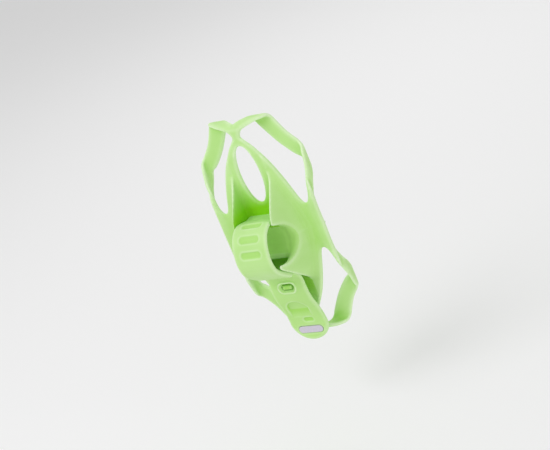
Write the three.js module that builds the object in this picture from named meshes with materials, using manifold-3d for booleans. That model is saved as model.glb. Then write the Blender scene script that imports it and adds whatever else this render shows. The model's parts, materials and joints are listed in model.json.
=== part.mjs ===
// A silicone phone mount for a bicycle handlebar, in millimetres.
// X runs along the handlebar, +Y from the phone's back to the bar, +Z along the phone, away from the ground.
// The origin is the centre of the flat face that the phone's back rests on.
import * as THREE from "three";
import { mergeVertices } from "three/addons/utils/BufferGeometryUtils.js";
import Module from "manifold-3d";

// Driving dimensions.
const phone = { width: 72, length: 147.2, thickness: 7.7, corner: 11 };
const bar = { radius: 11.1, offset: 22.2, play: 0.5 };
const wall = 2.5;
const gap = 0.3;
const strap = { width: 25.4, thickness: 2.6 };
const cheek = { inside: 13, foot: 28, top: 41, curve: 1.8, taperStart: 15, taper: 0.36, least: 0.6 };
const deck = { back: 3.6, halfHeight: 8.7 };
// The web's almond-shaped holes. The lower one leaves room for the strap's hook.
const almonds = {
  upper: { z: 40.8, halfWidth: 6.9, halfHeight: 19.4 },
  lower: { z: 50.4, halfWidth: 4.8, halfHeight: 9.4 },
};
// The line that a corner loop folds about, as [x, z] on the phone's back plane: from the wing to the arm.
const fold = { wing: [34, 13.6], arm: [14.6, 74.8] };
// The cheek's edge on the open corner, as [x, z].
const cheekEdge = [[27.6, 15], [22.9, 31], [18.6, cheek.top]];
const seat = { top: 15, low: -14.5, high: 9.6 };
const hook = { z: -35.5, halfWidth: 3.4, halfHeight: 1.1, top: 13.8 };
const slot = { width: 9.4, height: 4.4 };
const thumb = { z: -54, radius: 7.6, foot: -60.5, depth: 0.8 };
const tip = { z: -67, halfWidth: 13.9, length: 12.6 };
const badge = { z: -71.8, width: 18, height: 5.2, depth: 0.9 };
// The shallow pockets across the strap, with each link's places as shares of the strap's line.
const pocket = { width: 14, length: 4.2, depth: 0.9, top: [0.105, 0.172], front: [0.25] };

// The strap's mid surface in the plane across the bar, as [y, z], from its root to the tip of its tail.
const strapLine = [
  [9.6, 11.9], [15, 13.4], [22, 14.6], [27.6, 12.6], [31.4, 8.8], [34, 3.4], [35.3, -3],
  [34.6, -8.8], [32.2, -13], [27.3, -17], [19.3, -22.1], [13.8, -25.9], [11.7, -30.5], [12.1, -38],
  [10.8, -46], [7.9, -54], [5.9, -62], [5.2, -72], [5.8, -79.8],
];
// Where the strap's links meet, as shares of that line's length.
const links = { root: 0, front: 0.215, lower: 0.392, tail: 0.585, tip: 1 };

// A loop meets the fixed wing on a line square to its fold, so that it turns without touching the wing.
const foldRise = (fold.wing[0] - fold.arm[0]) / (fold.arm[1] - fold.wing[1]);
const wingLine = [28.3, 40].map((x) => [x, fold.wing[1] + foldRise * (x - fold.wing[0])]);
const halfStrap = strap.width / 2;
const halfThick = strap.thickness / 2;
const halfWidth = phone.width / 2;
const halfLength = phone.length / 2;
const front = -phone.thickness;

const wasm = await Module();
wasm.setup();

// A closed three.js geometry as a solid that can be cut and joined.
function solid(geometry) {
  const bare = geometry.clone();
  bare.deleteAttribute("normal");
  bare.deleteAttribute("uv");
  const merged = mergeVertices(bare, 1e-4);
  return new wasm.Manifold(new wasm.Mesh({
    numProp: 3,
    vertProperties: new Float32Array(merged.attributes.position.array),
    triVerts: new Uint32Array(merged.index.array),
  }));
}

function geometryOf(body) {
  const mesh = body.getMesh();
  const geometry = new THREE.BufferGeometry();
  geometry.setAttribute("position", new THREE.BufferAttribute(mesh.vertProperties, 3));
  geometry.setIndex(new THREE.BufferAttribute(mesh.triVerts, 1));
  geometry.computeVertexNormals();
  return geometry;
}

const X = new THREE.Vector3(1, 0, 0);
const Y = new THREE.Vector3(0, 1, 0);
const Z = new THREE.Vector3(0, 0, 1);
// For each direction of extrusion, the directions of the outline's two coordinates and of its depth.
const planes = {
  x: new THREE.Matrix4().makeBasis(Y, Z, X),
  y: new THREE.Matrix4().makeBasis(X, Z, Y.clone().negate()),
  z: new THREE.Matrix4().makeBasis(X, Y, Z),
};

// An outline, as a Shape or a list of points, extruded along an axis from one place to another.
function prism(axis, outline, from, to) {
  const shape = outline instanceof THREE.Shape
    ? outline
    : new THREE.Shape(outline.map(([a, b]) => new THREE.Vector2(a, b)));
  const depth = to - from;
  const geometry = new THREE.ExtrudeGeometry(shape, { depth, bevelEnabled: false, curveSegments: 16 });
  geometry.translate(0, 0, axis === "y" ? -to : from);
  return solid(geometry.applyMatrix4(planes[axis]));
}

function block(low, high) {
  const size = high.map((value, i) => value - low[i]);
  const geometry = new THREE.BoxGeometry(...size);
  return solid(geometry.translate(...low.map((value, i) => value + size[i] / 2)));
}

// Points of a smooth curve through a few [a, b] points.
function smooth(points, count) {
  const curve = new THREE.SplineCurve(points.map(([a, b]) => new THREE.Vector2(a, b)));
  return curve.getSpacedPoints(count).map((point) => [point.x, point.y]);
}

const flipped = (points) => points.map(([a, b]) => [-a, b]).reverse();

// One side's edge, given upwards as [half width, height], made into a closed outline with its mirror image.
const bothSides = (edge) => [...edge, ...flipped(edge)];

// A slab on the phone's back plane whose outer face is height(x, z).
function slab(xRange, zRange, steps, height) {
  const geometry = new THREE.BoxGeometry(1, 1, 1, steps[0], 1, steps[1]);
  const position = geometry.attributes.position;
  for (let i = 0; i < position.count; i += 1) {
    const x = THREE.MathUtils.lerp(...xRange, position.getX(i) + 0.5);
    const z = THREE.MathUtils.lerp(...zRange, position.getZ(i) + 0.5);
    position.setXYZ(i, x, position.getY(i) > 0 ? height(x, z) : 0, z);
  }
  return solid(geometry);
}

function roundedRectangle(halfX, halfZ, radius) {
  const shape = new THREE.Shape();
  shape.moveTo(halfX, -halfZ + radius);
  shape.absarc(halfX - radius, halfZ - radius, radius, 0, Math.PI / 2);
  shape.absarc(-halfX + radius, halfZ - radius, radius, Math.PI / 2, Math.PI);
  shape.absarc(-halfX + radius, -halfZ + radius, radius, Math.PI, Math.PI * 1.5);
  shape.absarc(halfX - radius, -halfZ + radius, radius, Math.PI * 1.5, Math.PI * 2);
  return shape;
}

// The skin that every wrap is a part of: a wall all round the phone.
const skin = prism(
  "y", roundedRectangle(halfWidth + wall, halfLength + wall, phone.corner + wall), front - wall, wall,
).subtract(prism("y", roundedRectangle(halfWidth, halfLength, phone.corner), front, 0));

// The space that the handlebar takes, with a little play.
const barSpace = solid(
  new THREE.CylinderGeometry(bar.radius + bar.play, bar.radius + bar.play, 90, 40)
    .rotateZ(Math.PI / 2)
    .translate(0, bar.offset, 0),
);

// How far the cheeks' ridges stand out, above and below the bar: a straight rise to a flat top.
const ridge = {
  upper: (z) => Math.min(39.97 - 0.885 * z, 25),
  lower: (z) => Math.min(51.1 - 1.348 * z, 33),
};

// A cheek falls in a hollow curve from its ridge, beside the strap, to the wing.
function cheekHeight(side) {
  return (x, z) => {
    const foot = cheek.foot - cheek.taper * Math.max(z - cheek.taperStart, 0);
    const share = THREE.MathUtils.clamp((Math.abs(x) - cheek.inside) / (foot - cheek.inside), 0, 1);
    return wall + Math.max(ridge[side](z) - wall, cheek.least) * (1 - share) ** cheek.curve;
  };
}

// Every piece below is made for the right and upper side; sideways and upended give its mirror images.
const sideways = (body, sign) => (sign > 0 ? body : body.mirror([1, 0, 0]));
const upended = (body, sign) => (sign > 0 ? body : body.mirror([0, 0, 1]));

function cheekBody(side) {
  const low = deck.halfHeight + gap;
  const outline = [[cheek.inside, low], [cheek.foot, low], ...cheekEdge, [cheek.inside, cheek.top]];
  const body = slab([cheek.inside, cheek.foot], [low, cheek.top], [7, 14], cheekHeight(side));
  return body.intersect(prism("y", outline, -1, 40));
}

// The deck under the bar, with a half-round seat across it.
function saddleBlock() {
  const middle = block([-cheek.inside + gap, 0, seat.low], [cheek.inside - gap, seat.top, seat.high]);
  const height = (x, z) => Math.min(cheekHeight("upper")(x, z), seat.top);
  const across = slab([-cheek.foot, cheek.foot], [-deck.halfHeight, deck.halfHeight], [18, 6], height);
  const overBar = block([-40, bar.offset, -40], [40, 60, 40]);
  return middle.add(across).subtract(barSpace).subtract(overBar);
}

// The flat web between the cheeks and the neck, with an almond-shaped hole in it.
function webBody(almond) {
  const inside = cheek.inside - gap;
  const shoulder = cheek.top + gap;
  const edge = [[inside, 14.8], [inside, shoulder], [18.6, shoulder], [13.2, 52.4], [9.5, 58], [5.9, 63.2]];
  const hole = new THREE.Shape();
  hole.absellipse(0, almond.z, almond.halfWidth, almond.halfHeight, 0, Math.PI * 2);
  return prism("y", bothSides(edge), 0, deck.back).subtract(prism("y", hole, -1, deck.back + 1));
}

// The right half of the silicone over the phone's end: the neck's arm, and the corner loop's branch past it.
function endBody() {
  const plan = [
    [0, 4], [12.6, 4], [14.9, -1.2], [18.8, -2.6], [23, -6.4], [23.5, -12],
    [9, -12], [8.2, -8.2], [4.7, -3.2], [0, -2.6],
  ];
  const backEdge = [[0, 69], [4.7, 71.2], [13, 75.4], [40, 75.4], [40, 60], [0, 60]];
  return skin
    .intersect(prism("z", plan, 70.4, halfLength + wall))
    .subtract(prism("y", backEdge, -1, 4));
}

// The arm's space, as far as the fold and the phone's front. The branch wraps round its end with a gap.
const armSpace = (clearance) => block([-1, front - clearance, 60], [fold.arm[0] + clearance, 20, 90]);

// The narrow neck, which runs up the back and parts into two short arms over the phone's end.
function neckBody() {
  const end = halfLength + wall;
  const edge = smooth([[5.8, 63.5], [3.3, 66.5], [3.1, 69], [4.4, 71.4], [4.4, end]], 10);
  const reach = block([-10, -2.6, 60], [10, wall, end]);
  const stem = skin.intersect(prism("y", bothSides(edge), -20, 20)).intersect(reach);
  const arm = endBody().intersect(armSpace(0));
  return stem.add(arm).add(sideways(arm, -1));
}

// The wing beside the cheeks, which ends in a lip over the phone's long edge.
function wingBody() {
  const outline = [...wingLine, ...wingLine.map(([x, z]) => [x, -z]).reverse()];
  return skin.intersect(prism("y", outline, -0.8, wall));
}

// A corner loop's branch, which carries the neck's arm on over the phone's end.
const branchBody = () => endBody().subtract(armSpace(gap));

// A corner loop's band, diagonally across the front.
function bandBody() {
  const outer = smooth([[23.2, 70.1], [27.6, 63], [32.6, 55.6]], 6);
  const inner = smooth([[32.6, 36.6], [21.5, 53], [9.6, 70.1]], 6);
  return prism("y", [...outer, ...inner], front - wall, front);
}

// A corner loop's wrap round the phone's long edge.
function wrapBody() {
  const side = [
    [4, 12.7], [-0.3, 14.6], [-1.6, 23], [-4.4, 28], [-7.2, 32], [-8.6, 35.6], [-12, 35.6],
    [-12, 56], [-7.7, 55.4], [-4.5, 45.6], [-2.4, 40], [1.3, 32.4], [4, 30.6],
  ];
  const window = smooth([[26, 14.4], [31, 15.8], [34.2, 22], [36, 30.4], [36.4, 40]], 8);
  const inside = prism("y", [...window, [20, 40], [20, 14]], -1, 4);
  const above = wingLine.map(([x, z]) => [x, z + gap]);
  const reach = prism("y", [...above, [40, 60], [28.3, 60]], front - wall, wall).subtract(
    block([20, front - 5, 12], [32.9, front + 1, 60]),
  );
  return skin.intersect(prism("x", side, 0, 45)).intersect(reach).subtract(inside);
}

const strapCurve = new THREE.SplineCurve(strapLine.map(([y, z]) => new THREE.Vector2(y, z)));

// A point of the strap's mid surface, its direction and its outward normal, in the plane across the bar.
function strapAt(share) {
  const point = strapCurve.getPointAt(share);
  const along = strapCurve.getTangentAt(share);
  return { point, along, out: new THREE.Vector2(-along.y, along.x) };
}

// A point at a height above the strap's mid surface, as [y, z].
function strapPoint(share, height) {
  const { point, out } = strapAt(share);
  return [point.x + out.x * height, point.y + out.y * height];
}

// One link of the strap between two shares of its line, shortened by half a gap at each joint.
function linkBody(from, to, steps, halfAcross) {
  const trim = gap / 2 / strapCurve.getLength();
  const start = from + trim;
  const end = to - (to < 1 ? trim : 0);
  const shares = Array.from({ length: steps + 1 }, (_, i) => THREE.MathUtils.lerp(start, end, i / steps));
  const inner = shares.map((share) => strapPoint(share, -halfThick));
  const outer = shares.map((share) => strapPoint(share, halfThick)).reverse();
  return prism("x", [...inner, ...outer], -halfAcross, halfAcross);
}

// A shallow pocket's space, laid on the strap's outer face.
function pocketSpace(share) {
  const { point, along, out } = strapAt(share);
  const proud = 1;
  const height = pocket.depth + proud;
  const geometry = new THREE.BoxGeometry(pocket.width, pocket.length, height);
  geometry.translate(0, 0, halfThick + proud - height / 2);
  const turned = new THREE.Matrix4().makeBasis(
    X, new THREE.Vector3(0, along.x, along.y), new THREE.Vector3(0, out.x, out.y),
  );
  geometry.applyMatrix4(turned).translate(0, point.x, point.y);
  return solid(geometry);
}

const withPockets = (link, shares) => shares.reduce((body, share) => body.subtract(pocketSpace(share)), link);

// A slot or pill outline, long in X.
function pill(centreX, centreZ, width, height) {
  const shape = new THREE.Shape();
  const radius = height / 2;
  shape.moveTo(centreX + width / 2 - radius, centreZ - radius);
  shape.absarc(centreX + width / 2 - radius, centreZ, radius, -Math.PI / 2, Math.PI / 2);
  shape.absarc(centreX - width / 2 + radius, centreZ, radius, Math.PI / 2, Math.PI * 1.5);
  return shape;
}

// The tail before its outline is cut: wider than the strap all the way down.
const tailSheet = () => linkBody(links.tail, links.tip, 26, 16);

function tailBody() {
  const end = new THREE.EllipseCurve(0, tip.z, tip.halfWidth, tip.length, -Math.PI / 2, 0);
  const round = end.getPoints(12).map((point) => [point.x, point.y]);
  const sides = smooth([[tip.halfWidth, tip.z], [13.4, -50], [13.4, -37], [halfStrap, -28.5]], 8);
  const plan = bothSides([...round, ...sides.slice(1), [halfStrap, -20]]);
  const recess = new THREE.Shape();
  recess.moveTo(thumb.radius, thumb.foot);
  recess.absarc(0, thumb.z, thumb.radius, 0, Math.PI);
  recess.lineTo(-thumb.radius, thumb.foot);
  const badgeSeat = pill(0, badge.z, badge.width + 2 * gap, badge.height + 2 * gap);
  return tailSheet()
    .intersect(prism("y", plan, 0, 20))
    .subtract(prism("y", pill(0, hook.z, slot.width, slot.height), 0, 20))
    .subtract(prism("y", recess, 8.2, 20).subtract(tailCore(thumb.depth)))
    .subtract(prism("y", badgeSeat, 0, 20).subtract(tailCore(badge.depth)));
}

// The part of the tail that lies deeper than a depth below its outer face.
function tailCore(depth) {
  const shares = Array.from({ length: 21 }, (_, i) => THREE.MathUtils.lerp(links.tail + 0.01, 1, i / 20));
  const inner = shares.map((share) => strapPoint(share, -halfThick - 1));
  const outer = shares.map((share) => strapPoint(share, halfThick - depth)).reverse();
  return prism("x", [...inner, ...outer], -20, 20);
}

function badgeBody() {
  return tailSheet()
    .intersect(prism("y", pill(0, badge.z, badge.width, badge.height), 0, 20))
    .subtract(tailCore(badge.depth - gap));
}

// The strap's fixed root, which stands on the web above the saddle.
function strapRootBody() {
  const [topY, topZ] = strapPoint(0, halfThick);
  const [lowY, lowZ] = strapPoint(0, -halfThick);
  const outline = [[0, 9.9], [lowY - gap, lowZ], [topY - gap, topZ], [4, 14.5], [0, 14.5]];
  return prism("x", outline, -halfStrap, halfStrap);
}

// The tooth that holds the strap by its slot.
function hookBody() {
  const foot = deck.back + gap;
  const low = hook.z - hook.halfHeight;
  const high = hook.z + hook.halfHeight;
  const outline = [[foot, low], [hook.top, low - 0.5], [hook.top, hook.z + 0.6], [12, high], [foot, high]];
  return prism("x", outline, -hook.halfWidth, hook.halfWidth);
}

const looks = {
  silicone: { color: 0xb4e08a, roughness: 0.55, metalness: 0 },
  badge: { color: 0xcfc8d6, roughness: 0.35, metalness: 0 },
};

const group = new THREE.Group();

function place(name, body, look = "silicone") {
  const mesh = new THREE.Mesh(geometryOf(body), new THREE.MeshStandardMaterial(looks[look]));
  mesh.name = name;
  group.add(mesh);
}

place("saddle_block", saddleBlock());
place("strap_root", strapRootBody());
place("strap_hook", hookBody());

for (const [rank, up] of [["upper", 1], ["lower", -1]]) {
  place(`${rank}_web`, upended(webBody(almonds[rank]), up));
  place(`${rank}_neck`, upended(neckBody(), up));
  for (const [hand, out] of [["right", 1], ["left", -1]]) {
    const mirrored = (body) => sideways(upended(body, up), out);
    place(`${rank}_${hand}_cheek`, mirrored(cheekBody(rank)).subtract(barSpace));
    place(`${rank}_${hand}_branch`, mirrored(branchBody()));
    place(`${rank}_${hand}_band`, mirrored(bandBody()));
    place(`${rank}_${hand}_wrap`, mirrored(wrapBody()));
  }
}

for (const [hand, out] of [["right", 1], ["left", -1]]) {
  place(`${hand}_wing`, sideways(wingBody(), out));
}

place("strap_top_link", withPockets(linkBody(links.root, links.front, 14, halfStrap), pocket.top));
place("strap_front_link", withPockets(linkBody(links.front, links.lower, 12, halfStrap), pocket.front));
place("strap_lower_link", linkBody(links.lower, links.tail, 12, halfStrap));
place("strap_tail", tailBody());
place("tail_badge", badgeBody(), "badge");

export default group;
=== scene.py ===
"""A silicone phone mount for a handlebar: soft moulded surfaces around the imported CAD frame.

The silicone is described by distance fields, in millimetres, and meshed from them, because the real
thing is one smooth moulding. The harness field makes the hub and the corner loops, and the strap field
makes the strap. Each mesh is then split at places that don't bend, so that every piece crosses one
joint at most.

x runs across the phone, y away from its back, and z along it. The bar lies along x, at z = 0.
"""

import json
from itertools import product

import bpy
import numpy as np
from mathutils import Matrix, Vector


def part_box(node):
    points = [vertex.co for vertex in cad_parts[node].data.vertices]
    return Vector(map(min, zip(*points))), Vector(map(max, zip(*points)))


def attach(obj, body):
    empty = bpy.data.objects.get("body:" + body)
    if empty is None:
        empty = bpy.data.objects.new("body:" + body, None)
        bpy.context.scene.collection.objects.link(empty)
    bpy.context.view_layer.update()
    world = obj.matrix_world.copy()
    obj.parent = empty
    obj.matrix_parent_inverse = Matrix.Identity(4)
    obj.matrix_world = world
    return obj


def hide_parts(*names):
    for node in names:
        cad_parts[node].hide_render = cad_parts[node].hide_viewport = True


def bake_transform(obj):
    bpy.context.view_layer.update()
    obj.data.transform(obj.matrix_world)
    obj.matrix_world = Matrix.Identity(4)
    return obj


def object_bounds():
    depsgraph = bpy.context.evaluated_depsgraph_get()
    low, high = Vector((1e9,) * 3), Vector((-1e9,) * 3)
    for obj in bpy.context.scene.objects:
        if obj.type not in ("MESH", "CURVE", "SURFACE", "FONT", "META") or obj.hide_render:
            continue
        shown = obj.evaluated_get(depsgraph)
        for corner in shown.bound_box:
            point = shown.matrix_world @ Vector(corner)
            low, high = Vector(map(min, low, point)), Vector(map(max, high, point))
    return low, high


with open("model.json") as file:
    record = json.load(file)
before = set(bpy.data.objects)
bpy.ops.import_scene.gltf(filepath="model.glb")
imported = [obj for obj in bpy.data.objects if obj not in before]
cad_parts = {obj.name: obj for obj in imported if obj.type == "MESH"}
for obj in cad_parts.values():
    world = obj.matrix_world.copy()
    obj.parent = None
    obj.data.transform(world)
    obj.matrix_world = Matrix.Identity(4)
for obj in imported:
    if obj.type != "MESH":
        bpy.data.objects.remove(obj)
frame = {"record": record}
cad_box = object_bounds()

MM = 0.001


def box_mm(node):
    """A CAD node's lowest and highest corners, in millimetres."""
    return tuple(np.array(corner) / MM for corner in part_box(node))


# ---------------------------------------------------------------- sizes from the frame

BAND_LOW, BAND_HIGH = box_mm("upper_right_band")
HOOK_LOW, HOOK_HIGH = box_mm("strap_hook")
BADGE_LOW, BADGE_HIGH = box_mm("tail_badge")
TAIL_LOW = box_mm("strap_tail")[0]
WALL = BAND_HIGH[1] - BAND_LOW[1]
FRONT = BAND_HIGH[1]
HALF_WIDTH = box_mm("right_wing")[1][0] - WALL
HALF_LENGTH = box_mm("upper_neck")[1][2] - WALL
CHEEK_INSIDE = box_mm("upper_right_cheek")[0][0]
STRAP_HALF = box_mm("strap_top_link")[1][0]
SLOT_Z = (HOOK_LOW[2] + HOOK_HIGH[2]) / 2
GRIP = next(m for m in frame["record"]["mounts"] if m["name"] == "handlebar_grip")
BAR_OFFSET = GRIP["pos_m"][1] / MM

# ---------------------------------------------------------------- sizes of the harness

# The radii of the phone's corners and of its edges, and of the space for the bar. Beyond the bar's
# middle that space is open this far down.
PHONE_CORNER = 11
PHONE_EDGE = 2.6
BAR_SPACE = 11.6
OPEN_BELOW = 8.7

# The half width of the web and cheeks at each distance from the bar.
WEB_Z = [0, 15.2, 31, 46.4, 58, 62, 66, 69, 72]
WEB_HALF = [30, 27.5, 22.8, 16.5, 9.5, 6.2, 2.9, 2.3, 2.6]
# The web's outline counts only past this y, so that it doesn't cover the phone's sides.
WEB_FRONT = 0.4
# The web is this thick at its middle, and no more than a wall where it is narrow.
WEB_HEIGHT = 3.6
CROWN = {"starts": 4, "over": 8}
UPPER_ALMOND = {"z": 40.8, "across": 7.2, "along": 19.6}
LOWER_ALMOND = {"z": -50.4, "across": 4.8, "along": 9.4}

# A cheek's ridge is level near the bar, then follows a straight line down to the web.
UPPER_RIDGE = {"at_bar": 39.97, "slope": -0.885, "level": 25, "turn": 5.0}
LOWER_RIDGE = {"at_bar": 52.4, "slope": 1.348, "level": 34.6, "turn": 2.5}
# The upper ridges give way to the lower ones over this much z.
RIDGE_CHANGE = 18.0
# A cheek's flank falls from its ridge by this power of the distance to its foot.
CHEEK_CURVE = 1.9

# The saddle in z and y, how far it reaches into each cheek, and the radius of its edges.
SADDLE = {"low": -14.0, "high": 10.0, "top": 15.0, "overlap": 1, "edge": 1.5}
HOOK_EDGE = 0.8
# The saddle and the hook start at this y inside the web, and don't change it below the skin's y.
EMBEDDED = 2.0
SKIN = 1

# Lips are rounded outer edges and fillets are rounded inner ones.
LIP = 1.7
TUNNEL_LIP = 2.6
FILLET = 3.0
HOOK_FILLET = 1.2
SHELL_FILLET = 0.5
END_FILLET = 3.0
# The web's edge slants, so a distance across it is this share of the same distance along x.
EDGE_SLOPE = 0.86
# Values at some |z|: the fillet where a loop meets the web, how far inside the phone's outline the web
# and cheeks end, and how thick the silicone is on the phone's side.
CORNER_FILLET = ([0, 40, 58], [10.0, 8.0, 3.0])
PLATE_MARGIN = ([30, 50], [-1.1, 0.8])
SIDE_WALL = ([0, 20, 28, 36], [0.9, 1.0, 1.6, WALL])

# A corner loop's middle line as (x, y, z, half width): from the neck, over the phone's end, across its
# front and round its edge to the wing.
LOOP = [
    (0.0, 1.2, 70.0, 3.2), (3.4, 0.6, 73.2, 3.3), (7.8, -1.6, 74.8, 3.9), (12.2, -4.6, 74.8, 4.8),
    (15.4, -7.6, 74.0, 5.8), (17.6, -8.9, 70.4, 6.0), (24.4, -8.9, 58.6, 5.4), (32.0, -8.9, 49.4, 5.2),
    (36.8, -7.6, 44.4, 4.6), (37.2, -3.9, 34.5, 3.9), (36.9, -0.4, 27.0, 3.1), (35.9, 1.4, 19.6, 2.7),
    (34.4, 2.4, 11.0, 3.4), (33.2, 3.0, 0.0, 5.0),
]
# Straight steps between two points of the line.
LOOP_STEPS = 5
CORNERS = [(up, out) for up in (1, -1) for out in (1, -1)]
CORNER_NAMES = [f"{'upper' if up > 0 else 'lower'}_{'right' if out > 0 else 'left'}" for up, out in CORNERS]

# Where a loop parts from the hub, and from which place and in which direction its second half starts.
LOOP_SPLIT = {"edge": 28.4, "wing": 13.0, "end": 69.5, "arm": 6.5, "front": -1.6}
LOOP_MIDDLE = LOOP[6]
LOOP_WAY = (0.57, 0.82)

# ---------------------------------------------------------------- sizes of the strap

# The strap's middle line across the bar, as (y, z), from inside the saddle to the tip of the tail.
STRAP = [
    (3, 11.4), (9.6, 11.9), (15, 13.4), (22, 14.6), (27.6, 12.6), (31.4, 8.8), (34, 3.4), (35.3, -3),
    (34.6, -8.8), (32.2, -13), (27.3, -17), (19.3, -22.1), (13.8, -25.9), (11.7, -30.5), (12.1, -38),
    (10.8, -46), (7.9, -54), (5.9, -62), (5.2, -72), (5.8, -79.8),
]
LINE_STEPS = 10
# The tail hangs nearly straight below this z.
STRAIGHT_BELOW = -30
STRAP_HALF_THICK = 1.3
STRAP_EDGE = 0.8
# The strap's half width at each z, and above the last of them.
TAIL_Z = [-79, -67, -50, -37, -28.5, -20]
TAIL_HALF = [13.9, 13.9, 13.4, 13.4, STRAP_HALF, STRAP_HALF]
# The tail's rounded end.
TIP = {"start": -67.0, "length": -67.0 - TAIL_LOW[2]}

# What stands out from the strap's outer face or is sunk into it. Places are (y, z) or z on the tail.
BRIDGE = {"start": (34.6, -8.8), "end": (19.3, -22.1), "height": 1.6, "fall": 0.6}
POCKETS = [(22.3, 13.9), (30.4, 10.0), (34.6, 1.7)]
POCKET = {"half_width": 7.0, "half_length": 2.0, "depth": 0.9, "edge": 1.2}
RIM = {"half_width": 6.3, "half_length": 3.6, "height": 0.9, "reach": 0.7, "flat": 0.5}
SLOT = {"half_width": 4.6, "half_length": 2.2, "lip": 0.8}
THUMB = {"x": 1.6, "z": -54.0, "radius": 7.0, "foot": -61.0, "depth": 1.5, "edge": 1.2}
NOTCH = {"x": -1.5, "z": -63.8, "half_width": 3.4, "half_length": 1.5, "depth": 0.9, "edge": 0.7}
SEAT = {"gap": 0.2, "depth": 0.8, "edge": 0.5}
BADGE = {"sunk": 0.25, "half_thick": 0.45, "edge": 0.6, "margin": (1, 2, 1)}

# The strap's pieces: name, the two bodies, where the bend between them starts and ends as (y, z), and
# the CAD nodes that the piece stands for. The seams between the pieces are places as (y, z).
STRAP_PIECES = [
    ("strap_over_root", "hub", "strap_top", (8.0, 12.2), (14.0, 13.6), ("strap_root", "strap_top_link")),
    ("strap_over_bar", "strap_top", "strap_front", (29.4, 11.2), (34.6, 2.0), ("strap_front_link",)),
    ("strap_under_bar", "strap_front", "strap_lower", (34.4, -9.4), (26.8, -17.4), ("strap_lower_link",)),
    ("strap_hanging_tail", "strap_lower", "strap_tail", (16.0, -24.4), (11.6, -31.6), ("strap_tail",)),
]
STRAP_SEAMS = [(20.6, 14.5), (35.2, -1.5), (23.0, -19.8)]

# ---------------------------------------------------------------- meshing and colours

# The size of the grids' cells.
STEP = 0.55
STRAP_STEP = STEP * 0.85
BADGE_STEP = 0.25
# How far the grids reach past what they hold, the harness's highest y, and the strap's highest y and z.
MARGIN = 2.0
HARNESS_TOP = 36.0
STRAP_TOP = (40.0, 19.0)
# Smoothing: how often, how far towards the neighbours' middle, and what share of that back.
HARNESS_PASSES = 3
STRAP_PASSES = 2
RELAX = 0.5
RELAX_BACK = 0.96

# Painted highlight on convex edges: how often an edge's sharpness is averaged with its neighbours', how far a
# point must stand out from them to get the full painted highlight, in cells, and how much of that painted
# highlight the painted shade takes away.
HIGHLIGHT_PASSES = 3
HIGHLIGHT_BEND = 0.10
HIGHLIGHT_FADE = 0.9

# Painted shade in the hollows: a hollow is judged ahead of a surface, by the share of material in a box that
# reaches this far.
HOLLOW_SHADE_PROBE = {"reach": 6.0, "ahead": 4.5, "open": 0.11, "deep": 0.36}

# How much painted shade, a deeper green, each place has, from 0 to 1.
HOLLOW_SHADE = 0.7
HOOK_SHADE = 0.6
LOWER_SHADE = 0.75
TUNNEL_SHADE = 0.35
RECESS_SHADE = 0.35
TAIL_SHADE = 0.14
TAIL_RECESS_SHADE = 0.5
UNDER_STEP_SHADE = 0.42
UNDER_STEP_SHADE_REACH = 10.0
# Where the painted shade between the cheeks starts and fades out, as z, and how far from the phone it is.
UPPER_SHADE_FADE = {"starts": 8, "ends": 36, "over": 18}
LOWER_SHADE_FADE = {"ends": -52, "over": 10}
SHADE_ABOVE = 2
# How far from the cheeks' inner faces, the tunnel's wall and the hook's top a point still gets its painted
# shade.
CHEEK_FACE = 0.6
TUNNEL_FACE = 0.8
HOOK_TOP = 3

GREENS = ((0.50, 0.80, 0.27, 1), (0.55, 0.84, 0.32, 1))
# Painted shade is a deeper green, and the painted highlight on convex edges a paler one.
PAINTED_SHADE_GREEN = (0.29, 0.70, 0.0, 1)
PAINTED_HIGHLIGHT_GREEN = (0.82, 1.0, 0.66, 1)
LAVENDERS = ((0.58, 0.54, 0.64, 1), (0.70, 0.66, 0.75, 1))
FLOOR_GREY = (0.93, 0.93, 0.93, 1)
WHITE = (1, 1, 1, 1)

# ---------------------------------------------------------------- camera, floor and light

CAMERA_PLACE = (-0.53682, 0.76776, 0.38759)
CAMERA_RIGHT = (-0.8406, -0.4089, -0.3553)
CAMERA_UP = (-0.11395, -0.50768, 0.85397)
LENS = 105.5
SENSOR = 36
FLOOR_DROP = 0.06

# Each light's name, place, size and power.
LIGHTS = [
    ("key", (0.35, 0.7, 0.9), 0.7, 4.2),
    ("fill", (-0.9, 0.5, 0.25), 0.8, 1.0),
    ("rim", (0.2, -0.8, 0.6), 0.6, 1.4),
]


def make_camera():
    """A view from beyond the bar, to one side and above."""
    right = Vector(CAMERA_RIGHT)
    back = right.cross(Vector(CAMERA_UP)).normalized()
    up = back.cross(right).normalized()
    data = bpy.data.cameras.new("camera")
    data.sensor_width = SENSOR
    data.lens = LENS
    data.clip_start = 0.01
    data.clip_end = 50
    camera = bpy.data.objects.new("camera", data)
    bpy.context.scene.collection.objects.link(camera)
    turn = Matrix((right.normalized(), up, back)).transposed().to_4x4()
    camera.matrix_world = Matrix.Translation(Vector(CAMERA_PLACE)) @ turn
    bpy.context.scene.camera = camera


def area_light(name, place, size, power):
    """A soft square light that looks at the mount."""
    data = bpy.data.lights.new(name, "AREA")
    data.size = size
    data.energy = power
    light = bpy.data.objects.new(name, data)
    light.location = place
    light.rotation_euler = (-Vector(place)).to_track_quat("-Z", "Y").to_euler()
    bpy.context.scene.collection.objects.link(light)


def make_surround():
    """A white surround, with colours shown as they are."""
    world = bpy.data.worlds.new("surround")
    bpy.context.scene.world = world
    world.use_nodes = True
    background = world.node_tree.nodes["Background"]
    background.inputs["Color"].default_value = WHITE
    background.inputs["Strength"].default_value = 0.66
    bpy.context.scene.view_settings.view_transform = "Standard"


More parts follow.
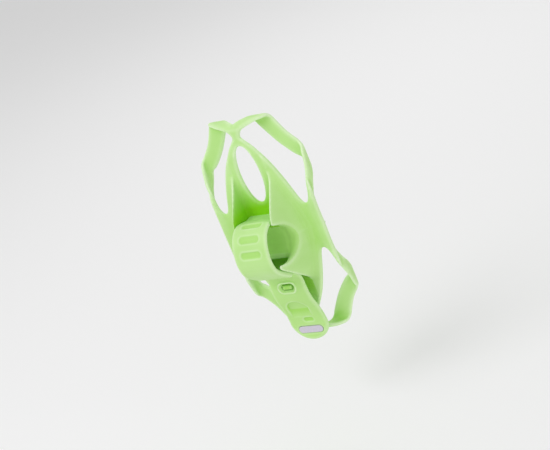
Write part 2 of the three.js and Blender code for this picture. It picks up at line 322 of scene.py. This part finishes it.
def make_floor():
    """A plain pale floor below the mount."""
    material = bpy.data.materials.new("floor")
    material.use_nodes = True
    shader = material.node_tree.nodes["Principled BSDF"]
    shader.inputs["Base Color"].default_value = FLOOR_GREY
    shader.inputs["Roughness"].default_value = 0.9
    bpy.ops.mesh.primitive_plane_add(size=8, location=(0, 0, cad_box[0].z - FLOOR_DROP))
    floor = bpy.context.object
    floor.name = "floor"
    floor.data.materials.append(material)


def make_stage():
    """The surround, the floor and the soft lights."""
    make_surround()
    make_floor()
    for light in LIGHTS:
        area_light(*light)


# ---------------------------------------------------------------- fields and meshes

def smooth_min(a, b, reach):
    """The lower of two fields, blended where they are within reach of each other."""
    share = np.clip(0.5 + 0.5 * (b - a) / reach, 0, 1)
    return b * (1 - share) + a * share - reach * share * (1 - share)


def smooth_max(a, b, reach):
    """The higher of two fields, blended where they are within reach of each other."""
    return -smooth_min(-a, -b, reach)


def smooth_path(knots, steps):
    """Close points on a smooth curve through a few points, with this many steps between two of them."""
    knots = np.array(knots, float)
    ahead = np.vstack([knots[1:], 2 * knots[-1] - knots[-2]])
    behind = np.vstack([2 * knots[0] - knots[1], knots[:-1]])
    slopes = (ahead - behind) / 2
    path = []
    for a, b, leaving, arriving in zip(knots, knots[1:], slopes, slopes[1:]):
        for share in np.arange(steps) / steps:
            square, cube = share**2, share**3
            path.append(
                a * (2 * cube - 3 * square + 1) + leaving * (cube - 2 * square + share)
                + b * (3 * square - 2 * cube) + arriving * (cube - square)
            )
    return np.array(path + [knots[-1]])


def grid(low, high, step):
    """The x, y and z of a grid's planes, in shapes that broadcast together."""
    x, y, z = [np.arange(a, b + step, step, dtype=np.float32) for a, b in zip(low, high)]
    return x[:, None, None], y[None, :, None], z[None, None, :]


def cell_points(field, mixed):
    """For each cell that the surface crosses, the middle of its crossings, in cells from the first."""
    cells = mixed.shape
    corners = list(product((0, 1), repeat=3))
    values = {}
    for corner in corners:
        values[corner] = field[tuple(slice(c, c + n) for c, n in zip(corner, cells))][mixed]
    where = np.argwhere(mixed)
    total = np.zeros((len(where), 3))
    crossings = np.zeros(len(where))
    for a in corners:
        for axis in range(3):
            if a[axis]:
                continue
            b = tuple(1 if i == axis else c for i, c in enumerate(a))
            crossed = (values[a] < 0) != (values[b] < 0)
            share = values[a] / np.where(crossed, values[a] - values[b], 1)
            point = np.tile(np.array(a, float), (len(where), 1))
            point[:, axis] = share
            total += point * crossed[:, None]
            crossings += crossed
    return where + total / crossings[:, None]


def cell_quads(inside, number):
    """A quad for each grid edge that the surface crosses, between the four cells round that edge."""
    quads = []
    for axis in range(3):
        u, v = (axis + 1) % 3, (axis + 2) % 3
        first = [slice(1, -1)] * 3
        second = [slice(1, -1)] * 3
        first[axis], second[axis] = slice(0, -1), slice(1, None)
        starts, ends = inside[tuple(first)], inside[tuple(second)]
        edge = np.argwhere(starts != ends)
        leaving = starts[tuple(edge.T)]
        edge[:, u] += 1
        edge[:, v] += 1
        ring = []
        for du, dv in ((-1, -1), (0, -1), (0, 0), (-1, 0)):
            cell = edge.copy()
            cell[:, u] += du
            cell[:, v] += dv
            ring.append(number[tuple(cell.T)])
        ring = np.stack(ring, 1)
        ring[~leaving] = ring[~leaving][:, ::-1]
        quads.append(ring)
    return np.concatenate(quads)


def surface_nets(field, low, step):
    """The surface where a field on a grid is zero, as points and outward quads."""
    inside = field < 0
    cells = tuple(n - 1 for n in field.shape)
    count = np.zeros(cells, np.int8)
    for corner in product((0, 1), repeat=3):
        count += inside[tuple(slice(c, c + n) for c, n in zip(corner, cells))]
    mixed = (count > 0) & (count < 8)
    points = cell_points(field, mixed) * step + np.array(low)
    number = np.full(cells, -1, np.int64)
    number[mixed] = np.arange(len(points))
    return points, cell_quads(inside, number)


def quad_edges(quads):
    """Every edge of every quad, in both directions."""
    ends = np.concatenate([quads[:, [i, (i + 1) % 4]] for i in range(4)])
    return np.concatenate([ends, ends[:, ::-1]])


def relax(points, quads, passes):
    """Points moved towards the middle of their neighbours and nearly as far back, which keeps the volume."""
    ends = quad_edges(quads)
    degree = np.bincount(ends[:, 0], minlength=len(points))[:, None]
    for step in range(2 * passes):
        total = np.stack([np.bincount(ends[:, 0], points[ends[:, 1], i], len(points)) for i in range(3)], 1)
        pull = RELAX if step % 2 == 0 else -RELAX * RELAX_BACK
        points = points + pull * (total / degree - points)
    return points


def point_normals(points, quads):
    """The outward direction at each point."""
    corners = points[quads]
    face_normals = np.cross(corners[:, 2] - corners[:, 0], corners[:, 3] - corners[:, 1])
    normals = np.stack([
        np.bincount(quads.ravel(), np.repeat(face_normals[:, i], 4), len(points)) for i in range(3)
    ], 1)
    return normals / (np.linalg.norm(normals, axis=1, keepdims=True) + 1e-9)


def painted_highlight_share(points, quads, normals):
    """How sharply each point stands out from its neighbours, from 0 on flats to 1 on a sharp convex edge, for
    the painted highlight there.
    """
    ends = quad_edges(quads)
    degree = np.bincount(ends[:, 0], minlength=len(points))

    def around(values):
        return np.bincount(ends[:, 0], values[ends[:, 1]], len(points)) / degree

    bend = sum((points[:, i] - around(points[:, i])) * normals[:, i] for i in range(3))
    for _ in range(HIGHLIGHT_PASSES):
        bend = 0.5 * bend + 0.5 * around(bend)
    return np.clip(bend / (HIGHLIGHT_BEND * STEP), 0, 1)


def crowding(inside, cells):
    """The share of material in a box of so many cells each way round every cell of a grid."""
    share = inside.astype(np.float32)
    for axis in range(3):
        pads = [(cells + 1, cells) if i == axis else (0, 0) for i in range(3)]
        total = np.cumsum(np.pad(share, pads), axis)
        size = inside.shape[axis]
        last = np.take(total, np.arange(size) + 2 * cells + 1, axis)
        share = (last - np.take(total, np.arange(size), axis)) / (2 * cells + 1)
    return share


def hollow_shade_share(inside, low, step, points, normals):
    """How much material crowds the space in front of each point, from 0 in the open to 1 in a hollow, for the
    painted shade there.
    """
    crowd = crowding(inside, round(HOLLOW_SHADE_PROBE["reach"] / step))
    cells = np.rint((points + normals * HOLLOW_SHADE_PROBE["ahead"] - low) / step).astype(int)
    cells = np.clip(cells, 0, np.array(inside.shape) - 1)
    return np.clip((crowd[tuple(cells.T)] - HOLLOW_SHADE_PROBE["open"]) / (HOLLOW_SHADE_PROBE["deep"] - HOLLOW_SHADE_PROBE["open"]), 0, 1)


def split_mesh(points, quads, labels, names, depth, material):
    """One object for each label of the quads, all with the whole mesh's normals, so that no seam shows."""
    normals = point_normals(points, quads)
    # The lip attribute is a painted highlight on convex edges, and the depth attribute is painted shade,
    # which takes some of that highlight away.
    lip = painted_highlight_share(points, quads, normals) * (1 - HIGHLIGHT_FADE * depth)
    made = {}
    for label, name in enumerate(names):
        chosen = quads[labels == label]
        used, local = np.unique(chosen, return_inverse=True)
        mesh = bpy.data.meshes.new(name)
        mesh.from_pydata((points[used] * MM).tolist(), [], local.reshape(-1, 4).tolist())
        mesh.polygons.foreach_set("use_smooth", [True] * len(mesh.polygons))
        for attribute, values in (("lip", lip), ("depth", depth)):
            layer = mesh.attributes.new(attribute, "FLOAT", "POINT")
            layer.data.foreach_set("value", values[used].astype(np.float32))
        mesh.normals_split_custom_set_from_vertices(normals[used].tolist())
        mesh.materials.append(material)
        made[name] = bpy.data.objects.new(name, mesh)
        bpy.context.scene.collection.objects.link(made[name])
    return made


# ---------------------------------------------------------------- the harness

def phone_outline(x, z):
    """Distance to the phone's rounded outline, across its back."""
    across = np.abs(x) - HALF_WIDTH + PHONE_CORNER
    along = np.abs(z) - HALF_LENGTH + PHONE_CORNER
    outline = np.hypot(np.maximum(across, 0), np.maximum(along, 0))
    return outline + np.minimum(np.maximum(across, along), 0) - PHONE_CORNER


def phone_distance(x, y, z):
    """Distance to the phone's body with its rounded edges."""
    a = phone_outline(x, z) + PHONE_EDGE
    b = np.abs(y - FRONT / 2) + FRONT / 2 + PHONE_EDGE
    return np.hypot(np.maximum(a, 0), np.maximum(b, 0)) + np.minimum(np.maximum(a, b), 0) - PHONE_EDGE


def ribbon_distance(x, y, z):
    """Distance to the corner loop's middle line, less its half width there."""
    path = smooth_path(LOOP, LOOP_STEPS)
    nearest = None
    for start, end in zip(path, path[1:]):
        along = end[:3] - start[:3]
        parts = (x - start[0], y - start[1], z - start[2])
        share = np.clip(sum(p * a for p, a in zip(parts, along)) / (along @ along), 0, 1)
        away = np.sqrt(sum((p - share * a) ** 2 for p, a in zip(parts, along)))
        away = away - (start[3] + share * (end[3] - start[3]))
        nearest = away if nearest is None else np.minimum(nearest, away)
    return nearest


def almond_distance(x, z, almond):
    """Distance to an oval hole, good near its edge."""
    px, pz = x / almond["across"], (z - almond["z"]) / almond["along"]
    reach = np.hypot(px, pz) + 1e-6
    slope = np.hypot(px / almond["across"], pz / almond["along"]) + 1e-6
    return reach * (reach - 1) / slope


def ridge_line(z, ridge):
    """The height of a ridge that turns softly from level to sloping."""
    return smooth_min(ridge["at_bar"] + ridge["slope"] * z, ridge["level"], ridge["turn"])


def ridge_height(z):
    """How far the cheeks' ridges stand out, above and below the bar."""
    upper = ridge_line(z, UPPER_RIDGE)
    lower = ridge_line(z, LOWER_RIDGE)
    above = np.clip(0.5 + z / RIDGE_CHANGE, 0, 1)
    above = above * above * (3 - 2 * above)
    return np.maximum(lower + (upper - lower) * above, WALL)


def web_half(az):
    """Half the width of the web and cheeks, as a smooth curve through the outline's points."""
    path = smooth_path(list(zip(WEB_Z, WEB_HALF)), LINE_STEPS)
    return np.interp(az, path[:, 0], path[:, 1]).astype(np.float32)


def cheek_surface(x, z, half):
    """Height of the cheeks' hollow flanks, and how much steeper than flat they are."""
    share = np.clip((np.abs(x) - CHEEK_INSIDE) / np.maximum(half - CHEEK_INSIDE, 1), 0, 1)
    height = WALL + (ridge_height(z) - WALL) * (1 - share) ** CHEEK_CURVE
    slope_x, slope_z = np.gradient(height[:, 0, :], STEP)
    return height, np.sqrt(1 + slope_x**2 + slope_z**2)[:, None, :]


def rounded_box(parts, halves, radius):
    """Distance to a box with rounded edges, from distances to its middle planes."""
    over = [np.abs(p) - h + radius for p, h in zip(parts, halves)]
    outside = np.sqrt(sum(np.maximum(o, 0) ** 2 for o in over))
    return outside + np.minimum(np.maximum(np.maximum(over[0], over[1]), over[2]), 0) - radius


def bar_space(y, z):
    """The handlebar's space. Beyond the bar's middle it is open, up to the bar's top and less far down."""
    bar = np.hypot(y - BAR_OFFSET, z) - BAR_SPACE
    over = np.maximum(np.maximum(z - BAR_SPACE, -z - OPEN_BELOW), BAR_OFFSET - y)
    return np.minimum(bar, over)


def saddle_field(x, y, z):
    """The block between the cheeks that the bar rests on."""
    middle = (SADDLE["low"] + SADDLE["high"]) / 2
    halves = (CHEEK_INSIDE + SADDLE["overlap"], SADDLE["top"], (SADDLE["high"] - SADDLE["low"]) / 2)
    block = rounded_box((x, y, z - middle), halves, SADDLE["edge"])
    return np.maximum(block, EMBEDDED - y)


def hook_field(x, y, z):
    """The flat tooth that the strap's slot goes over."""
    height = HOOK_HIGH[1]
    halves = (HOOK_HIGH[0], height / 2, (HOOK_HIGH[2] - HOOK_LOW[2]) / 2)
    tooth = rounded_box((x, y - height / 2, z - SLOT_Z), halves, HOOK_EDGE)
    return np.maximum(tooth, EMBEDDED - y)


def outline_field(x, y, z, half):
    """What the harness covers of the phone: the web and cheeks, joined to the corner loops."""
    ax, az = np.abs(x), np.abs(z)
    edge = smooth_max((ax - half) * EDGE_SLOPE, az - HALF_LENGTH, END_FILLET)
    fillet = np.interp(az, *CORNER_FILLET).astype(np.float32)
    return smooth_min(np.maximum(edge, WEB_FRONT - y), ribbon_distance(ax, y, az), fillet)


def plate_field(x, y, z, half):
    """The web, thickest at its middle, with the cheeks on it, inside the phone's outline."""
    ax, az = np.abs(x), np.abs(z)
    height, steep = cheek_surface(x, z, half)
    cheeks = smooth_max((y - height) / steep, CHEEK_INSIDE - ax, LIP)
    wide = np.clip((half - CROWN["starts"]) / CROWN["over"], 0, 1)
    crown = (WEB_HEIGHT - WALL) * np.clip(1 - (ax / half) ** 2, 0, 1) * wide
    plate = np.maximum(smooth_min(y - WALL - crown, cheeks, FILLET), -y)
    margin = np.interp(az, *PLATE_MARGIN).astype(np.float32)
    return smooth_max(plate, phone_outline(x, z) + margin, LIP)


def harness_field(x, y, z):
    """The whole harness: web, cheeks, saddle, wings, necks, corner loops and the strap's hook."""
    half = web_half(np.abs(z))
    phone = phone_distance(x, y, z)
    side = np.interp(np.abs(z), *SIDE_WALL).astype(np.float32)
    shell = np.abs(phone - side / 2) - side / 2
    thick = smooth_min(shell, plate_field(x, y, z, half), SHELL_FILLET)
    whole = smooth_max(thick, outline_field(x, y, z, half), LIP)
    for almond in (UPPER_ALMOND, LOWER_ALMOND):
        whole = smooth_max(whole, -almond_distance(x, z, almond), LIP)
    with_saddle = smooth_min(whole, saddle_field(x, y, z), FILLET)
    with_hook = smooth_min(with_saddle, hook_field(x, y, z), HOOK_FILLET)
    whole = np.where(y > SKIN, with_hook, whole)
    whole = smooth_max(whole, -bar_space(y, z), TUNNEL_LIP)
    return np.maximum(whole, -phone)


def harness_labels(centres):
    """Which piece each face belongs to: 0 for the hub, then two halves for each corner loop."""
    x, y, z = centres.T
    ax, az = np.abs(x), np.abs(z)
    on_edge = (ax > LOOP_SPLIT["edge"]) & (az > LOOP_SPLIT["wing"])
    on_end = (az > LOOP_SPLIT["end"]) & (ax > LOOP_SPLIT["arm"])
    on_front = (y < LOOP_SPLIT["front"]) & (ax > LOOP_SPLIT["arm"]) & (az > LOOP_SPLIT["wing"])
    outwards, towards_bar = ax - LOOP_MIDDLE[0], LOOP_MIDDLE[2] - az
    past_middle = outwards * LOOP_WAY[0] + towards_bar * LOOP_WAY[1] > 0
    labels = np.zeros(len(centres), int)
    for index, (up, out) in enumerate(CORNERS):
        here = (on_edge | on_end | on_front) & (z * up > 0) & (x * out > 0)
        labels[here & ~past_middle] = 1 + 2 * index
        labels[here & past_middle] = 2 + 2 * index
    return labels


def harness_painted_shade(points, hollow_shade_amount):
    """How much painted shade, a deeper green, each point has: most in the hollows, some in the tunnel and on
    the hook.
    """
    x, y, z = points.T
    between = (np.abs(x) < CHEEK_INSIDE + CHEEK_FACE) & (y > SHADE_ABOVE)
    upper_fade = np.clip((UPPER_SHADE_FADE["ends"] - z) / UPPER_SHADE_FADE["over"], 0, 1)
    upper = between * (z > UPPER_SHADE_FADE["starts"]) * upper_fade
    lower_fade = np.clip((z - LOWER_SHADE_FADE["ends"]) / LOWER_SHADE_FADE["over"], 0, 1)
    lower = LOWER_SHADE * between * (z < SADDLE["low"]) * lower_fade
    tunnel = TUNNEL_SHADE * (np.hypot(y - BAR_OFFSET, z) < BAR_SPACE + TUNNEL_FACE)
    hook = HOOK_SHADE * (y > HOOK_HIGH[1] - HOOK_TOP) * (np.abs(z - SLOT_Z) < HOOK_TOP)
    return np.max([upper, lower, tunnel, hook, HOLLOW_SHADE * hollow_shade_amount], 0)


def harness_pieces(material):
    """The harness's mesh, split into the hub and the two halves of each corner loop."""
    reach = np.array([HALF_WIDTH + WALL, 0, HALF_LENGTH + WALL]) + MARGIN
    low = np.array([-reach[0], FRONT - WALL - MARGIN, -reach[2]])
    high = np.array([reach[0], HARNESS_TOP, reach[2]])
    field = harness_field(*grid(low, high, STEP))
    points, quads = surface_nets(field, low, STEP)
    points = relax(points, quads, HARNESS_PASSES)
    labels = harness_labels(points[quads].mean(1))
    names = ["harness_hub"] + [f"{corner}_loop_{part}" for corner in CORNER_NAMES for part in ("arm", "edge")]
    hollow_shade_amount = hollow_shade_share(field < 0, low, STEP, points, point_normals(points, quads))
    return split_mesh(points, quads, labels, names, harness_painted_shade(points, hollow_shade_amount), material)


def make_harness(material):
    """The hub, which rides, and the two halves of each corner loop."""
    pieces = harness_pieces(material)
    hub = pieces["harness_hub"]
    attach(hub, "hub")
    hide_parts(*[n for n in frame["record"]["behaviour"]["bodies"]["hub"] if n != "strap_root"])
    for (up, out), corner in zip(CORNERS, CORNER_NAMES):
        arm, edge = pieces[f"{corner}_loop_arm"], pieces[f"{corner}_loop_edge"]
        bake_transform(arm)
        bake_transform(edge)
        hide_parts(f"{corner}_branch", f"{corner}_band")
        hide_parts(f"{corner}_wrap")


# ---------------------------------------------------------------- the strap

LINE = smooth_path(STRAP, LINE_STEPS)
LINE_LENGTH = np.concatenate([[0], np.cumsum(np.hypot(*np.diff(LINE, axis=0).T))])


def strap_coordinates(y, z):
    """Length along the strap and height above its middle line, for points across the bar."""
    best = np.full(np.broadcast(y, z).shape, np.inf, np.float32)
    length = np.zeros_like(best)
    height = np.zeros_like(best)
    for i, (start, end) in enumerate(zip(LINE, LINE[1:])):
        along = end - start
        size = np.hypot(*along)
        py, pz = y - start[0], z - start[1]
        share = np.clip((py * along[0] + pz * along[1]) / size**2, 0, 1)
        away = np.hypot(py - share * along[0], pz - share * along[1])
        side = (-along[1] * py + along[0] * pz) / size
        closer = away < best
        best = np.where(closer, away, best)
        length = np.where(closer, LINE_LENGTH[i] + share * size, length)
        height = np.where(closer, np.where(side > 0, away, -away), height)
    return length, height


def length_at(y, z):
    """Length along the strap of the point of it nearest to (y, z)."""
    return float(strap_coordinates(np.array([y]), np.array([z]))[0][0])


def length_at_height(z):
    """Length along the tail at a height z, where the tail hangs nearly straight."""
    tail = LINE[:, 1] < STRAIGHT_BELOW
    return float(np.interp(-z, -LINE[tail, 1], LINE_LENGTH[tail]))


def pill_distance(x, s, centre, half_width, half_length):
    """Distance, in the strap's surface, to a pill that is long across the strap."""
    across = np.maximum(np.abs(x) - half_width + half_length, 0)
    return np.hypot(across, s - centre) - half_length


def sink(distance, depth, edge):
    """A recess of a depth inside an outline, with softened edges."""
    return -depth * np.clip(0.5 - distance / edge, 0, 1)


def bridge_rise(s):
    """The stretch under the bar that gets slowly thicker and ends in a step."""
    start, step = length_at(*BRIDGE["start"]), length_at(*BRIDGE["end"])
    swell = np.clip((s - start) / (step - start), 0, 1)
    fall = np.clip((step - s) / BRIDGE["fall"], 0, 1)
    return BRIDGE["height"] * swell * fall


def slot_rim(x, s):
    """The raised rim round the slot."""
    middle = length_at_height(SLOT_Z)
    rim = np.abs(pill_distance(x, s, middle, RIM["half_width"], RIM["half_length"]))
    return RIM["height"] * np.clip(1 + RIM["flat"] - rim / RIM["reach"], 0, 1)


def thumb_recess(x, s):
    """The arched recess for a thumb, which gets shallower towards its foot."""
    middle, foot = length_at_height(THUMB["z"]), length_at_height(THUMB["foot"])
    arch = np.hypot(x - THUMB["x"], np.minimum(s - middle, 0)) - THUMB["radius"]
    return sink(arch, THUMB["depth"], THUMB["edge"]) * np.clip((foot - s) / (foot - middle), 0, 1)


def notch_recess(x, s):
    """The small pill-shaped recess between the thumb's and the badge."""
    middle = length_at_height(NOTCH["z"])
    notch = pill_distance(x - NOTCH["x"], s, middle, NOTCH["half_width"], NOTCH["half_length"])
    return sink(notch, NOTCH["depth"], NOTCH["edge"])


def badge_seat(x, s):
    """The recess that the badge lies in."""
    middle = length_at_height((BADGE_LOW[2] + BADGE_HIGH[2]) / 2)
    half_length = (BADGE_HIGH[2] - BADGE_LOW[2]) / 2
    seat = pill_distance(x, s, middle, BADGE_HIGH[0] + SEAT["gap"], half_length + SEAT["gap"])
    return sink(seat, SEAT["depth"], SEAT["edge"])


def strap_details(x, s):
    """How far the outer face is raised or sunk by its pockets, rims and recesses."""
    raised = bridge_rise(s)
    for y, z in POCKETS:
        pocket = pill_distance(x, s, length_at(y, z), POCKET["half_width"], POCKET["half_length"])
        raised = raised + sink(pocket, POCKET["depth"], POCKET["edge"])
    return raised + slot_rim(x, s) + thumb_recess(x, s) + notch_recess(x, s) + badge_seat(x, s)


def strap_field(x, y, z):
    """The strap, from its root in the saddle to the tip of its tail."""
    length, height = strap_coordinates(y, z)
    half = np.interp(np.broadcast_to(z, height.shape), TAIL_Z, TAIL_HALF).astype(np.float32)
    outer = height - STRAP_HALF_THICK - strap_details(x, length)
    thick = smooth_max(outer, -height - STRAP_HALF_THICK, STRAP_EDGE)
    past = np.maximum(length - length_at_height(TIP["start"]), 0) / TIP["length"]
    around = np.hypot(x / half, past)
    side = np.where(past > 0, (around - 1) * TIP["length"], np.abs(x) - half)
    body = smooth_max(thick, side, LIP)
    slot = pill_distance(x, length, length_at_height(SLOT_Z), SLOT["half_width"], SLOT["half_length"])
    return smooth_max(body, -slot, SLOT["lip"])


def strap_painted_shade(points):
    """How much painted shade, a deeper green, each point has: some in the recesses and on the tail, which
    faces down, most just under the step.
    """
    along, height = strap_coordinates(points[:, 1], points[:, 2])
    past_bridge = along - length_at(*BRIDGE["end"])
    # Painted shade in the recesses, on the downward-facing tail, and as a painted shadow just under the
    # step's edge.
    sunk = np.clip(-strap_details(points[:, 0], along), 0, 1) * (height > 0) * RECESS_SHADE
    under = np.clip(1 - past_bridge / UNDER_STEP_SHADE_REACH, 0, 1)
    tail = (past_bridge > 0) * (TAIL_SHADE + UNDER_STEP_SHADE * under**2)
    return np.maximum(sunk, tail) + TAIL_RECESS_SHADE * sunk * (tail > 0)


def strap_pieces(material):
    """The strap's mesh, split at its seams."""
    low = np.array([-TAIL_HALF[0] - MARGIN, 0.0, TAIL_LOW[2] - MARGIN])
    high = np.array([TAIL_HALF[0] + MARGIN, *STRAP_TOP])
    points, quads = surface_nets(strap_field(*grid(low, high, STRAP_STEP)), low, STRAP_STEP)
    points = relax(points, quads, STRAP_PASSES)
    centres = points[quads].mean(1)
    lengths = strap_coordinates(centres[:, 1], centres[:, 2])[0]
    labels = sum((lengths > length_at(*seam)).astype(int) for seam in STRAP_SEAMS)
    names = [piece[0] for piece in STRAP_PIECES]
    return split_mesh(points, quads, labels, names, strap_painted_shade(points), material)


def make_strap(material):
    """The strap in four pieces, each across one of its bends."""
    pieces = strap_pieces(material)
    for name, before, after, start, end, nodes in STRAP_PIECES:
        piece = pieces[name]
        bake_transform(piece)
        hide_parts(*nodes)


def make_badge(material):
    """The small pale pill set into the tail."""
    low = BADGE_LOW - BADGE["margin"]
    high = BADGE_HIGH + BADGE["margin"]
    x, y, z = grid(low, high, BADGE_STEP)
    length, height = strap_coordinates(y, z)
    middle = length_at_height((BADGE_LOW[2] + BADGE_HIGH[2]) / 2)
    outline = pill_distance(x, length, middle, BADGE_HIGH[0], (BADGE_HIGH[2] - BADGE_LOW[2]) / 2)
    layer = np.abs(height - STRAP_HALF_THICK + BADGE["sunk"]) - BADGE["half_thick"]
    points, quads = surface_nets(smooth_max(layer, outline, BADGE["edge"]), low, BADGE_STEP)
    points = relax(points, quads, STRAP_PASSES)
    labels = np.zeros(len(quads), int)
    badge = split_mesh(points, quads, labels, ["pale_badge"], np.zeros(len(points)), material)["pale_badge"]
    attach(badge, "strap_tail")
    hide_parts("tail_badge")


# ---------------------------------------------------------------- materials

def principled(name):
    """A new material, with its nodes, links and main shader."""
    material = bpy.data.materials.new(name)
    material.use_nodes = True
    tree = material.node_tree
    return material, tree.nodes, tree.links, tree.nodes["Principled BSDF"]


def noise(nodes, links, scale):
    """Noise fixed to the object."""
    texture = nodes.new("ShaderNodeTexNoise")
    texture.inputs["Scale"].default_value = scale
    links.new(nodes.new("ShaderNodeTexCoord").outputs["Object"], texture.inputs["Vector"])
    return texture


def two_tones(nodes, links, texture, colours):
    """A colour between two, by a noise."""
    tone = nodes.new("ShaderNodeValToRGB")
    tone.color_ramp.elements[0].color = colours[0]
    tone.color_ramp.elements[1].color = colours[1]
    links.new(texture.outputs["Fac"], tone.inputs["Fac"])
    return tone


def mix_towards(nodes, links, colour, target, attribute, most):
    """A colour mixed towards another by one of the mesh's own attributes."""
    value = nodes.new("ShaderNodeAttribute")
    value.attribute_name = attribute
    share = nodes.new("ShaderNodeMath")
    share.operation = "MULTIPLY"
    share.inputs[1].default_value = most
    links.new(value.outputs["Fac"], share.inputs[0])
    # A Mix node's colours are its inputs 6 and 7, and its output 2.
    mix = nodes.new("ShaderNodeMix")
    mix.data_type = "RGBA"
    links.new(share.outputs["Value"], mix.inputs["Factor"])
    links.new(colour, mix.inputs[6])
    mix.inputs[7].default_value = target
    return mix.outputs[2]


def silicone_material():
    """Soft light green silicone with a fine matte grain, a painted highlight on its convex edges, and painted
    shade, a deeper green, in its hollows.
    """
    material, nodes, links, shader = principled("silicone")
    shader.inputs["Roughness"].default_value = 0.5
    shader.inputs["IOR"].default_value = 1.41
    shader.inputs["Specular IOR Level"].default_value = 0.35
    shader.inputs["Sheen Weight"].default_value = 0.06
    shader.inputs["Sheen Roughness"].default_value = 0.5
    cloud = noise(nodes, links, 60)
    tone = two_tones(nodes, links, cloud, GREENS)
    tone.color_ramp.elements[0].position = 0.3
    tone.color_ramp.elements[1].position = 0.7
    # Painted shade: a deeper green where the depth attribute is high.
    with_painted_shade = mix_towards(nodes, links, tone.outputs["Color"], PAINTED_SHADE_GREEN, "depth", 0.97)
    # Painted highlight: a paler green on convex edges, by the lip attribute.
    with_painted_highlight = mix_towards(nodes, links, with_painted_shade, PAINTED_HIGHLIGHT_GREEN, "lip", 0.85)
    links.new(with_painted_highlight, shader.inputs["Base Color"])
    grain = noise(nodes, links, 2500)
    grain.inputs["Detail"].default_value = 3
    bump = nodes.new("ShaderNodeBump")
    bump.inputs["Strength"].default_value = 0.08
    bump.inputs["Distance"].default_value = 0.0001
    links.new(grain.outputs["Fac"], bump.inputs["Height"])
    links.new(bump.outputs["Normal"], shader.inputs["Normal"])
    return material


def badge_material():
    """Satin pale grey with a trace of lavender and a faint speckle."""
    material, nodes, links, shader = principled("badge")
    shader.inputs["Roughness"].default_value = 0.35
    tone = two_tones(nodes, links, noise(nodes, links, 900), LAVENDERS)
    links.new(tone.outputs["Color"], shader.inputs["Base Color"])
    return material


make_camera()
make_stage()
silicone = silicone_material()
make_harness(silicone)
make_strap(silicone)
make_badge(badge_material())
